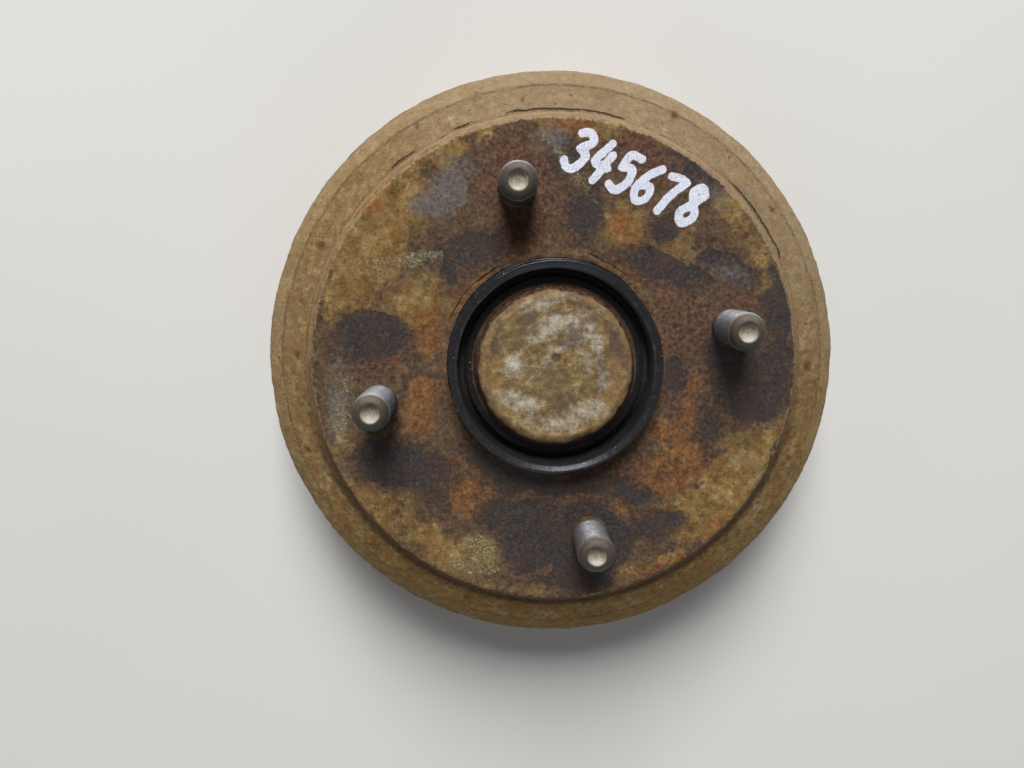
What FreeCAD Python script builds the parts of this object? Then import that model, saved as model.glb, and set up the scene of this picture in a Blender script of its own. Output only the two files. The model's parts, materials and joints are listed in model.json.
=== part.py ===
import FreeCAD, Part
import math
import os
from FreeCAD import Vector

# Rear brake drum cast in one with its wheel hub, with its wheel studs, dust cap and
# double-row wheel bearing. Millimetres. The axis of rotation is +Z, the open rim lies on
# z = 0 and the wheel face and the studs look up.

# Drum: friction bore and wheel side
drum_d = 180.0              # bore that the brake shoes rub on
drum_depth = 56.0           # open rim to wheel face
face_inset = 13.2           # edge of the wheel face, inward from the friction bore
face_bevel_width = 2.7      # steep bevel at the edge of the wheel face
face_bevel_fall = 4.5
shoulder_width = 9.7        # sloping shoulder outside that bevel
shoulder_fall = 5.5
corner_width = 4.4          # rounded corner outside the shoulder
corner_fall = 4.1
corner_round = 3.0
bevel_round = 1.0

# Drum: outside wall and open rim
wall_thickness = 6.6        # friction bore to the plain outside wall
taper_length = 14.0         # draft from the corner down to the plain wall
lip_proud = 4.4             # lip that stands out round the open rim
lip_height = 7.0
lip_slope = 3.0
lip_round = 0.8
rim_land = 4.2              # flat end of the rim between bore and groove
groove_width = 3.4          # groove in the rim that takes the backplate's edge
groove_depth = 3.5
rim_chamfer = 1.2

# Drum: inside
web_thickness = 9.0         # plate between hub and wall
path_end_drop = 20.5        # wheel face down to the end of the friction bore
relief_depth = 0.5          # undercut past the end of the friction bore
relief_width = 2.5
inner_corner_width = 5.0
inner_corner_rise = 2.5
inner_slope_inset = 15.0    # where the underside of the web starts to slope, from the bore
inner_round = 4.0

# Hub
boss_wall = 10.0            # hub boss round the bearing, at the web
boss_draft = 1.5            # how much slimmer the boss is at its end
boss_root_round = 5.0
boss_end_chamfer = 1.0
seat_step = 4.0             # ledge that the bearing stands on, inward from its bore
seat_thickness = 3.5
neck_wall = 2.5             # collar round the dust cap
neck_drop = 0.7             # wheel face down to the top of that collar
channel_width = 2.3         # groove between collar and spigot
channel_depth = 6.0
spigot_wall = 2.75          # thin ring that centres the wheel
spigot_height = 8.25
spigot_chamfer = 0.6
spigot_round = 1.2          # its inner edge
mouth_chamfer = 0.4

# Wheel studs
stud_count = 4
stud_circle_d = 114.3
stud_first_angle = 12.1     # degrees from +X
stud_d = 12.0
stud_reach = 22.0           # wheel face to the stud's tip
stud_shoulder_d = 12.8      # plain diameter that is pressed into the web
stud_head_d = 17.0
stud_head_height = 4.5
stud_head_round = 1.0
stud_tip_chamfer = 1.5      # width of the worn nose round the dished end
stud_tip_slope = 2.2        # its height
stud_tip_round = 1.1
stud_dish_d = 6.8           # dished end
stud_dish_floor_d = 4.2
stud_dish_depth = 1.3

# Dust cap
cap_wall = 1.0
cap_press = 5.8             # depth of its skirt in the bearing bore
cap_ledge = 0.4             # small step between skirt and side
cap_seat_rise = 0.6
cap_height = 6.8            # above the collar's top, without the step
cap_side_slope = 1.7
cap_corner_round = 2.4
cap_dish_r = 8.6            # shallow dish in the top
cap_dish_slope = 1.6
cap_dish_depth = 0.35
cap_dimple_r = 1.9          # punched dimple in the dish
cap_dimple_slope = 0.8
cap_dimple_depth = 0.7
cap_dimple_x = 0.3          # it sits a little off the axis
cap_dimple_y = 2.8

# Retaining ring
circlip_thickness = 2.0
circlip_width = 3.9         # widest, opposite the gap
circlip_eccentricity = 0.5
circlip_half_gap = 13.0     # degrees
circlip_lug_r = 2.9
circlip_lug_reach = 4.4     # lug centres, inward from the ring's outside
circlip_lug_angle = 19.0    # degrees from the middle of the gap
circlip_hole_d = 2.4
circlip_groove = 1.0        # depth of its groove in the bearing bore
circlip_clearance = 0.05
cap_to_circlip = 1.0

# Wheel bearing
bearing_bore_d = 25.0
bearing_outer_d = 52.0
bearing_width = 37.0
bearing_chamfer = 1.0
ball_count = 12             # in each row
ball_share = 0.588          # ball diameter in the space between bore and outside
race_clearance = 0.05
row_offset = 7.5            # each row from the middle of the bearing
inner_low_shoulder = 0.0875     # heights of the raceways' edges, in ball diameters
inner_high_shoulder = 0.225
outer_mid_shoulder = 0.2125
outer_end_shoulder = 0.075
seal_seat_step = 0.7        # seal seats outside the outer ring's end lands
seal_depth = 4.2
seal_recess = 0.4
seal_case = 0.8
seal_lip_gap = 0.08
seal_lip_length = 1.2
cage_run = 0.6              # cage to the lands inside and outside it
cage_back = 1.5             # closed side of the cage, past the balls
cage_prongs = 2.0           # how far its fingers reach past the balls' middle
cage_clearance = 0.12
cage_chamfer = 0.4

# Radii worked out from the sizes above
drum_r = drum_d / 2
face_r = drum_r - face_inset
shoulder_in_r = face_r + face_bevel_width
shoulder_out_r = shoulder_in_r + shoulder_width
corner_r = shoulder_out_r + corner_width
wall_r = drum_r + wall_thickness
lip_r = wall_r + lip_proud
bore_r = bearing_outer_d / 2
neck_r = bore_r + neck_wall
channel_r = neck_r + channel_width
spigot_r = channel_r + spigot_wall
boss_r = bore_r + boss_wall
stud_r = stud_d / 2
ball_circle_r = (bearing_bore_d + bearing_outer_d) / 4
ball_d = ball_share * (bearing_outer_d - bearing_bore_d) / 2
ball_r = ball_d / 2
race_r = ball_r + race_clearance
inner_low_r = ball_circle_r - race_r + ball_d * inner_low_shoulder
inner_high_r = ball_circle_r - race_r + ball_d * inner_high_shoulder
outer_mid_r = ball_circle_r + race_r - ball_d * outer_mid_shoulder
outer_end_r = ball_circle_r + race_r - ball_d * outer_end_shoulder
seal_seat_r = outer_end_r + seal_seat_step

# Heights worked out from the sizes above
face_z = drum_depth
web_z = face_z - web_thickness
corner_z = face_z - face_bevel_fall - shoulder_fall - corner_fall
path_end_z = face_z - path_end_drop
relief_z = path_end_z + relief_width
neck_z = face_z - neck_drop
channel_z = face_z - channel_depth
cap_bottom_z = neck_z - cap_press
cap_top_z = neck_z + cap_seat_rise + cap_height
circlip_top_z = cap_bottom_z - cap_to_circlip
bearing_top_z = circlip_top_z - circlip_thickness
bearing_bottom_z = bearing_top_z - bearing_width
bearing_mid_z = (bearing_top_z + bearing_bottom_z) / 2
row_z = bearing_mid_z + row_offset
hub_end_z = bearing_bottom_z - seat_thickness


# Profiles and turned shapes

def rounded_edges(corners):
    """Lines between (radius, height, rounding) corners, with a tangent arc at each rounding."""
    spots = [Vector(corner[0], 0, corner[1]) for corner in corners]
    roundings = [corner[2] if len(corner) > 2 else 0 for corner in corners]
    starts = []
    ends = []
    arcs = []
    for i, spot in enumerate(spots):
        to_last = (spots[i - 1] - spot).normalize()
        to_next = (spots[(i + 1) % len(spots)] - spot).normalize()
        half_angle = to_last.getAngle(to_next) / 2
        if roundings[i] == 0:
            starts.append(spot)
            ends.append(spot)
            arcs.append(None)
            continue
        trim = roundings[i] / math.tan(half_angle)
        bisector = (to_last + to_next).normalize()
        middle = spot + bisector * (roundings[i] / math.sin(half_angle) - roundings[i])
        starts.append(spot + to_last * trim)
        ends.append(spot + to_next * trim)
        arcs.append(Part.Arc(starts[i], middle, ends[i]).toShape())
    edges = []
    for i in range(len(spots)):
        if arcs[i]:
            edges.append(arcs[i])
        following = starts[(i + 1) % len(spots)]
        edges.append(Part.LineSegment(ends[i], following).toShape())
    return edges


def turned(edges):
    """The solid that a closed profile in the XZ half-plane sweeps round the Z axis."""
    face = Part.Face(Part.Wire(edges))
    solid = face.revolve(Vector(0, 0, 0), Vector(0, 0, 1), 360)
    if solid.Volume < 0:
        solid.reverse()
    return solid


def on_circle(radius, angle, height):
    """A point at this radius, angle in degrees and height."""
    turn = math.radians(angle)
    return Vector(radius * math.cos(turn), radius * math.sin(turn), height)


# Casting

def casting_section():
    """Section of drum and hub, from the rim up the outside and back down the inside."""
    rim_and_wall = [
        (drum_r + rim_chamfer, 0),
        (drum_r + rim_land, 0),
        (drum_r + rim_land, groove_depth),
        (drum_r + rim_land + groove_width, groove_depth),
        (drum_r + rim_land + groove_width, 0),
        (lip_r, 0, lip_round),
        (lip_r, lip_height, lip_round),
        (wall_r, lip_height + lip_slope, lip_slope),
        (wall_r, corner_z - taper_length, corner_round),
    ]
    wheel_side = [
        (corner_r, corner_z, corner_round),
        (shoulder_out_r, corner_z + corner_fall, corner_round),
        (shoulder_in_r, face_z - face_bevel_fall, bevel_round),
        (face_r, face_z, bevel_round),
        (spigot_r, face_z),
        (spigot_r, face_z + spigot_height - spigot_chamfer),
        (spigot_r - spigot_chamfer, face_z + spigot_height),
        (channel_r, face_z + spigot_height, spigot_round),
        (channel_r, channel_z),
        (neck_r, channel_z),
        (neck_r, neck_z),
    ]
    bore = [
        (bore_r + mouth_chamfer, neck_z),
        (bore_r, neck_z - mouth_chamfer),
        (bore_r, circlip_top_z + circlip_clearance),
        (bore_r + circlip_groove + circlip_clearance, circlip_top_z + circlip_clearance),
        (bore_r + circlip_groove + circlip_clearance, bearing_top_z),
        (bore_r, bearing_top_z),
        (bore_r, bearing_bottom_z),
        (bore_r - seat_step, bearing_bottom_z),
        (bore_r - seat_step, hub_end_z),
    ]
    inside = [
        (boss_r - boss_draft - boss_end_chamfer, hub_end_z),
        (boss_r - boss_draft, hub_end_z + boss_end_chamfer),
        (boss_r, web_z, boss_root_round),
        (drum_r - inner_slope_inset, web_z, inner_round),
        (drum_r - inner_corner_width, relief_z + inner_corner_rise, inner_round),
        (drum_r + relief_depth, relief_z),
        (drum_r + relief_depth, path_end_z),
        (drum_r, path_end_z),
        (drum_r, rim_chamfer),
    ]
    return rounded_edges(rim_and_wall + wheel_side + bore + inside)


def make_casting():
    casting = turned(casting_section())
    for angle in stud_angles():
        hole_base = on_circle(stud_circle_d / 2, angle, web_z - boss_root_round)
        hole = Part.makeCylinder(stud_shoulder_d / 2, web_thickness + 2 * boss_root_round, hole_base)
        casting = casting.cut(hole)
    return casting


# Wheel studs

def stud_angles():
    return [stud_first_angle + i * 360 / stud_count for i in range(stud_count)]


def make_stud():
    """One stud on the Z axis at its real height, its head under the web and its end dished."""
    tip_z = face_z + stud_reach
    head_z = web_z - stud_head_height
    return turned(rounded_edges([
        (0, head_z),
        (stud_head_d / 2, head_z, stud_head_round),
        (stud_head_d / 2, web_z),
        (stud_shoulder_d / 2, web_z),
        (stud_shoulder_d / 2, face_z),
        (stud_r, face_z),
        (stud_r, tip_z - stud_tip_slope, stud_tip_round),
        (stud_r - stud_tip_chamfer, tip_z, stud_tip_round),
        (stud_dish_d / 2, tip_z),
        (stud_dish_floor_d / 2, tip_z - stud_dish_depth),
        (0, tip_z - stud_dish_depth),
    ]))


def make_studs():
    stud = make_stud()
    return Part.makeCompound([stud.translated(on_circle(stud_circle_d / 2, angle, 0))
                              for angle in stud_angles()])


# Dust cap

def cap_surface(inset, bottom_z):
    """Corners of the cap's outside, or of its inside when inset by the wall, from skirt to axis."""
    side_r = bore_r - cap_ledge - inset
    top_z = cap_top_z - inset
    slope = math.hypot(cap_side_slope, cap_height) / cap_height * inset - inset
    return [
        (bore_r - inset, bottom_z),
        (bore_r - inset, neck_z),
        (side_r, neck_z + cap_seat_rise),
        (side_r - cap_side_slope - slope, top_z, max(cap_corner_round - inset, cap_wall / 2)),
        (cap_dish_r, top_z),
        (cap_dish_r - cap_dish_slope, top_z - cap_dish_depth),
        (0, top_z - cap_dish_depth),
    ]


def cap_punch(top_z):
    """What the dimple takes out of a surface of the cap at this height."""
    floor = Vector(cap_dimple_x, cap_dimple_y, top_z - cap_dimple_depth)
    return Part.makeCone(cap_dimple_r - cap_dimple_slope, cap_dimple_r, cap_dimple_depth, floor)


def make_cap():
    """Pressed steel cap: one wall thickness, a straight skirt and a dished top with a dimple."""
    outside = cap_surface(0, cap_bottom_z)
    inside = cap_surface(cap_wall, cap_bottom_z)
    cap = turned(rounded_edges(outside + inside[::-1]))
    dish_z = cap_top_z - cap_dish_depth
    cap = cap.fuse(cap_punch(dish_z - cap_wall)).cut(cap_punch(dish_z))
    return cap.removeSplitter()


# Retaining ring

def make_circlip():
    """Internal retaining ring in its groove over the bearing, open at the -Y side."""
    outer_r = bore_r + circlip_groove
    hole_r = outer_r - circlip_width
    height = circlip_thickness
    ring = Part.makeCylinder(outer_r, height)
    off_centre = Vector(0, -circlip_eccentricity, 0)
    ring = ring.cut(Part.makeCylinder(hole_r, height, off_centre))
    gap_start = on_circle(2 * outer_r, -90 - circlip_half_gap, 0)
    gap_end = on_circle(2 * outer_r, -90 + circlip_half_gap, 0)
    gap = Part.Face(Part.makePolygon([Vector(0, 0, 0), gap_start, gap_end, Vector(0, 0, 0)]))
    ring = ring.cut(gap.extrude(Vector(0, 0, height)))
    for side in (-1, 1):
        centre = on_circle(outer_r - circlip_lug_reach, -90 + side * circlip_lug_angle, 0)
        ring = ring.fuse(Part.makeCylinder(circlip_lug_r, height, centre))
        ring = ring.cut(Part.makeCylinder(circlip_hole_d / 2, height, centre))
    return ring.removeSplitter().translated(Vector(0, 0, bearing_top_z))


# Wheel bearing. Each row's pieces are made in the outboard row; the inboard row mirrors them.

def race_arc(from_land, to_land, bulge_r):
    """Raceway arc round the outboard balls, from one (radius, side) land edge to the other."""
    ends = []
    for land_r, side in (from_land, to_land):
        reach = math.sqrt(race_r ** 2 - (land_r - ball_circle_r) ** 2)
        ends.append(Vector(land_r, 0, row_z + side * reach))
    middle = Vector(ball_circle_r + bulge_r * race_r, 0, row_z)
    return ends[0], Part.Arc(ends[0], middle, ends[1]).toShape(), ends[1]


def joined(points):
    """Straight edges through these points."""
    return [Part.LineSegment(a, b).toShape() for a, b in zip(points, points[1:])]


def make_inner_ring():
    """Outboard inner ring: low land towards the middle, high land under the seal."""
    bore = bearing_bore_d / 2
    end_z = bearing_top_z
    chamfer = bearing_chamfer / 2
    start, race, end = race_arc((inner_low_r, -1), (inner_high_r, 1), -1)
    points = [
        end,
        Vector(inner_high_r, 0, end_z - chamfer),
        Vector(inner_high_r - chamfer, 0, end_z),
        Vector(bore + bearing_chamfer, 0, end_z),
        Vector(bore, 0, end_z - bearing_chamfer),
        Vector(bore, 0, bearing_mid_z + chamfer),
        Vector(bore + chamfer, 0, bearing_mid_z),
        Vector(inner_low_r, 0, bearing_mid_z),
        start,
    ]
    return turned([race] + joined(points))


def make_outer_ring():
    """Outer ring: both raceways, a thick middle land, and a seal seat at each end."""
    seat_z = bearing_top_z - seal_depth
    start, race, end = race_arc((outer_mid_r, -1), (outer_end_r, 1), 1)
    points = [
        end,
        Vector(outer_end_r, 0, seat_z),
        Vector(seal_seat_r, 0, seat_z),
        Vector(seal_seat_r, 0, bearing_top_z),
        Vector(bore_r - bearing_chamfer, 0, bearing_top_z),
        Vector(bore_r, 0, bearing_top_z - bearing_chamfer),
        Vector(bore_r, 0, bearing_mid_z),
        Vector(outer_mid_r, 0, bearing_mid_z),
        start,
    ]
    half = turned([race] + joined(points))
    return half.fuse(inboard(half)).removeSplitter()


def make_seal():
    """Outboard seal: a cased ring pressed into the outer ring, its lip close round the inner one."""
    edge_r = inner_high_r + seal_lip_gap
    top_z = bearing_top_z - seal_recess
    disc_z = top_z - seal_case
    return turned(rounded_edges([
        (seal_seat_r, bearing_top_z - seal_depth),
        (seal_seat_r, top_z, seal_case / 2),
        (edge_r, top_z),
        (edge_r, disc_z),
        (edge_r + seal_case / 2, disc_z - seal_lip_length),
        (edge_r + seal_lip_length, disc_z),
        (seal_seat_r - seal_case, disc_z),
        (seal_seat_r - seal_case, bearing_top_z - seal_depth),
    ]))


def row_balls():
    """The outboard row of balls, evenly spaced."""
    return [Part.makeSphere(ball_r, on_circle(ball_circle_r, i * 360 / ball_count, row_z))
            for i in range(ball_count)]


def make_cage():
    """Outboard crown cage: a ring with round pockets that are open towards the middle."""
    top_z = row_z + ball_r + cage_back
    bottom_z = row_z - cage_prongs
    in_r = inner_high_r + cage_run
    out_r = outer_mid_r - cage_run
    cage = turned(rounded_edges([
        (in_r, bottom_z),
        (out_r, bottom_z),
        (out_r, top_z - cage_chamfer),
        (out_r - cage_chamfer, top_z),
        (in_r + cage_chamfer, top_z),
        (in_r, top_z - cage_chamfer),
    ]))
    for i in range(ball_count):
        centre = on_circle(ball_circle_r, i * 360 / ball_count, row_z)
        cage = cage.cut(Part.makeSphere(ball_r + cage_clearance, centre))
    return cage


def inboard(shape):
    """The same shape in the inboard half, turned half a ball pitch so that the rows alternate."""
    turned_shape = shape.copy()
    turned_shape.rotate(Vector(0, 0, 0), Vector(0, 0, 1), 180 / ball_count)
    return turned_shape.mirror(Vector(0, 0, bearing_mid_z), Vector(0, 0, 1))


def make_parts():
    """Every node's shape by its name."""
    parts = {
        "drum_and_hub": make_casting(),
        "wheel_studs": make_studs(),
        "dust_cap": make_cap(),
        "bearing_circlip": make_circlip(),
        "bearing_outer_ring": make_outer_ring(),
    }
    inner_ring = make_inner_ring()
    seal = make_seal()
    cage = make_cage()
    parts["inner_ring_outboard"] = inner_ring
    parts["inner_ring_inboard"] = inboard(inner_ring)
    parts["seal_outboard"] = seal
    parts["seal_inboard"] = inboard(seal)
    parts["cage_outboard"] = cage
    parts["cage_inboard"] = inboard(cage)
    for i, ball in enumerate(row_balls(), start=1):
        parts[f"ball_outboard_{i:02d}"] = ball
        parts[f"ball_inboard_{i:02d}"] = inboard(ball)
    return parts


os.makedirs("parts", exist_ok=True)
for name, shape in make_parts().items():
    shape.exportStep(f"parts/{name}.step")
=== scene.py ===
import json
import math

import bmesh
import bpy
import numpy as np
from mathutils import Matrix, Vector, noise


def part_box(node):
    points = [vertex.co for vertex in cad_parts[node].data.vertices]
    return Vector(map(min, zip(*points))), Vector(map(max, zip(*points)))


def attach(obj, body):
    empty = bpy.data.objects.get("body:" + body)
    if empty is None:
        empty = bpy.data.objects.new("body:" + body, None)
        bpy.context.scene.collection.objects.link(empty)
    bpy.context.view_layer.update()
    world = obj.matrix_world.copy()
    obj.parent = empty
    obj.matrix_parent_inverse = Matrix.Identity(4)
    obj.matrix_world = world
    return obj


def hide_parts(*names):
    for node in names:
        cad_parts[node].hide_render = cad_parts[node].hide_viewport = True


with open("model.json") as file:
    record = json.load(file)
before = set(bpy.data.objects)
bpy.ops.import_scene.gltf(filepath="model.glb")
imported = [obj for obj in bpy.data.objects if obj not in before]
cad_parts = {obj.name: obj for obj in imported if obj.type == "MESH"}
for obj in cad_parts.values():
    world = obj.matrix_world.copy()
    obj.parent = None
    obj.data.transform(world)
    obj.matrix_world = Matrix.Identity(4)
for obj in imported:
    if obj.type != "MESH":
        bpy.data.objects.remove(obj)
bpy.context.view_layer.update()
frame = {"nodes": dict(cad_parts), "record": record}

# Sizes in millimetres, as the casting and its pieces have them. The axis is +Z.
MM = 0.001

casting_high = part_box("drum_and_hub")[1]
stud_low, stud_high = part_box("wheel_studs")
cap_low, cap_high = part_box("dust_cap")

LIP_R = casting_high.x / MM
CAP_TOP_Z = cap_high.z / MM
CAP_BOTTOM_Z = cap_low.z / MM
STUD_TIP_Z = stud_high.z / MM
STUD_HEAD_Z = stud_low.z / MM
SPIGOT_TOP_Z = casting_high.z / MM

mounts = {mount["name"]: mount for mount in frame["record"]["mounts"]}
FACE_Z = mounts["wheel_face"]["pos_m"][2] / MM
SPIGOT_R = mounts["hub_spigot"]["dims"]["r_mm"]
STUD_CIRCLE_R = mounts["wheel_studs"]["dims"]["pcd_mm"] / 2
STUD_R = mounts["wheel_studs"]["dims"]["stud_r_mm"]
DRUM_R = mounts["brake_shoe_surface"]["dims"]["r_mm"]
BORE_R = cap_high.x / MM

FACE_R = 76.8
BEVEL_R = 79.5
BEVEL_Z = FACE_Z - 4.5
SHOULDER_R = 89.2
SHOULDER_Z = FACE_Z - 10.0
CORNER_R = 93.6
CORNER_Z = FACE_Z - 14.1
WALL_R = 96.6
TAPER_Z = 27.9
LIP_HEIGHT = 7.0
LIP_SLOPE_Z = 10.0
GROOVE_IN_R = 94.2
GROOVE_OUT_R = 97.6
GROOVE_DEPTH = 3.5
RIM_CHAMFER = 1.2
PATH_END_Z = 35.5
RELIEF_Z = 38.0
RELIEF_R = 90.5
WEB_Z = 47.0
SLOPE_R = 75.0
INNER_CORNER_R = 85.0
INNER_CORNER_Z = 40.5
BOSS_ROOT_R = 36.0
BOSS_END_R = 34.5
HUB_END_Z = 6.0
SEAT_R = 22.0
SEAT_Z = 9.5
NECK_R = 28.5
NECK_Z = FACE_Z - 0.7
CHANNEL_R = 30.8
CHANNEL_Z = 50.0

FIRST_STUD_ANGLE = math.radians(12.1)
STUD_COUNT = 4


# Small helpers

def srgb(red, green, blue):
    """A colour given as it looks on screen, 0 to 255, in Blender's linear values."""

    def linear(level):
        level = level / 255
        return level / 12.92 if level <= 0.04045 else ((level + 0.055) / 1.055) ** 2.4
    return (linear(red), linear(green), linear(blue), 1.0)


def as_colour(value):
    """A shader value as it is, or the linear form of a (red, green, blue)."""
    return srgb(*value) if isinstance(value, tuple) else value


def smooth(low, high, value):
    """0 below low, 1 above high, with a soft step between; works on numpy arrays."""
    share = np.clip((value - low) / (high - low), 0, 1)
    return share * share * (3 - 2 * share)


def fractal(points, scale, octaves=3, shift=0.0, stretch=(1, 1, 1)):
    """Perlin noise of about -1 to 1 at each point, with features about `scale` mm wide."""
    values = np.empty(len(points))
    for i, (x, y, z) in enumerate(points):
        spot = Vector((x * stretch[0] / scale + shift, y * stretch[1] / scale, z * stretch[2] / scale))
        values[i] = noise.fractal(spot, 0.8, 2.1, octaves)
    return values


# Turned meshes

def outline(corners, closed=True):
    """Points along a turned section, and the zone of each.

    A corner is (radius, height, rounding, zone, spacing). Its zone and spacing hold for the run
    that leaves it. A rounding is an arc that touches both runs. A section that isn't closed runs
    from the axis back to the axis.
    """
    spots = [Vector(corner[:2]) for corner in corners]
    points = []
    zones = []
    trims = []
    for i, spot in enumerate(spots):
        to_last = (spots[i - 1] - spot).normalized()
        to_next = (spots[(i + 1) % len(spots)] - spot).normalized()
        half = to_last.angle(to_next) / 2
        trims.append((to_last, to_next, half, corners[i][2] / math.tan(half)))
    for i, spot in enumerate(spots):
        to_last, to_next, half, trim = trims[i]
        zone, spacing = corners[i][3:]
        rounding = corners[i][2]
        if rounding > 0:
            centre = spot + (to_last + to_next).normalized() * rounding / math.sin(half)
            start = spot + to_last * trim - centre
            sweep = math.pi - 2 * half
            side = 1 if start.cross(spot + to_next * trim - centre) > 0 else -1
            count = max(3, round(rounding * sweep / min(spacing, 1.2)))
            for k in range(count):
                turn = Matrix.Rotation(side * sweep * k / count, 2)
                points.append(centre + turn @ start)
                zones.append(zone)
        if i == len(spots) - 1 and not closed:
            points.append(spot)
            zones.append(zone)
            break
        run_start = spot + to_next * trim
        following = (i + 1) % len(spots)
        run_end = spots[following] - to_next * trims[following][3]
        length = (run_end - run_start).length
        count = max(1, round(length / spacing))
        for k in range(count):
            points.append(run_start.lerp(run_end, k / count))
            zones.append(zone)
    return points, zones


def turned_mesh(points, steps, closed=True):
    """A bmesh of this section turned right round Z, with its seam and poles merged.

    One sector is spun and then copied over and over, which is much quicker than one long spin.
    """
    doublings = 0
    while steps % 2 == 0 and steps > 12:
        steps //= 2
        doublings += 1
    angle = 2 * math.pi / 2 ** doublings
    mesh = bmesh.new()
    verts = [mesh.verts.new((point.x, 0, point.y)) for point in points]
    edges = [mesh.edges.new(pair) for pair in zip(verts, verts[1:])]
    if closed:
        edges.append(mesh.edges.new((verts[-1], verts[0])))
    bmesh.ops.spin(mesh, geom=verts + edges, cent=(0, 0, 0), axis=(0, 0, 1),
                   angle=angle, steps=steps, use_merge=False, use_duplicate=False)
    for doubling in range(doublings):
        everything = mesh.verts[:] + mesh.edges[:] + mesh.faces[:]
        copied = bmesh.ops.duplicate(mesh, geom=everything)["geom"]
        bmesh.ops.rotate(mesh, verts=[item for item in copied if isinstance(item, bmesh.types.BMVert)],
                         cent=(0, 0, 0), matrix=Matrix.Rotation(angle * 2 ** doubling, 3, "Z"))
    bmesh.ops.remove_doubles(mesh, verts=mesh.verts, dist=0.001)
    bmesh.ops.recalc_face_normals(mesh, faces=mesh.faces)
    return mesh


def section_of(spots, points):
    """For each spot (x, y, z), which section point it was spun from."""
    section = np.array([tuple(point) for point in points])
    found = np.empty(len(spots), dtype=int)
    radii = np.hypot(spots[:, 0], spots[:, 1])
    for start in range(0, len(spots), 4000):
        end = start + 4000
        offsets = (radii[start:end, None] - section[None, :, 0]) ** 2
        offsets += (spots[start:end, None, 2] - section[None, :, 1]) ** 2
        found[start:end] = offsets.argmin(axis=1)
    return found


def section_normals(points):
    """Outward (radial, axial) direction at each point of a section."""
    section = np.array([tuple(point) for point in points])
    ahead = np.roll(section, -1, axis=0)
    along = ahead - np.roll(section, 1, axis=0)
    turning = np.sign(np.sum(section[:, 0] * ahead[:, 1] - ahead[:, 0] * section[:, 1]))
    normals = turning * np.stack([along[:, 1], -along[:, 0]], axis=1)
    return normals / np.linalg.norm(normals, axis=1)[:, None]


class Turned:
    """A turned mesh with the radius, angle and zone of each vertex, before it is roughened."""

    def __init__(self, corners, steps, closed=True):
        points, zones = outline(corners, closed)
        self.mesh = turned_mesh(points, steps, closed)
        self.spots = np.array([tuple(vert.co) for vert in self.mesh.verts])
        index = section_of(self.spots, points)
        self.zones = np.array(zones)[index]
        self.normals = section_normals(points)[index]
        self.radii = np.hypot(self.spots[:, 0], self.spots[:, 1])
        self.angles = np.arctan2(self.spots[:, 1], self.spots[:, 0])

    def roughen(self, relief):
        """Moves each vertex outward by its relief in millimetres, never through the floor."""
        radii = np.maximum(self.radii, 1e-6)
        across = self.normals[:, :1] * self.spots[:, :2] / radii[:, None]
        outward = np.concatenate([across, self.normals[:, 1:]], axis=1)
        moved = self.spots + outward * relief[:, None]
        moved[:, 2] = np.maximum(moved[:, 2], 0)
        for vert, spot in zip(self.mesh.verts, moved):
            vert.co = spot


def linked(name, mesh, materials):
    """The object of a bmesh that is in millimetres."""
    bmesh.ops.scale(mesh, vec=(MM, MM, MM), verts=mesh.verts)
    data = bpy.data.meshes.new(name)
    mesh.to_mesh(data)
    mesh.free()
    for material in materials:
        data.materials.append(material)
    piece = bpy.data.objects.new(name, data)
    bpy.context.scene.collection.objects.link(piece)
    return piece


def finished(name, mesh, body, materials):
    """A smooth-shaded piece that rides on a body."""
    piece = linked(name, mesh, materials)
    piece.data.polygons.foreach_set("use_smooth", [True] * len(piece.data.polygons))
    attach(piece, body)
    return piece


def store(piece, fields):
    """Keeps the numbers of each field on the vertices, where a material reads them by name."""
    for name, values in fields.items():
        attribute = piece.data.attributes.new(name, "FLOAT", "POINT")
        attribute.data.foreach_set("value", np.asarray(values, dtype=np.float32))


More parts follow.
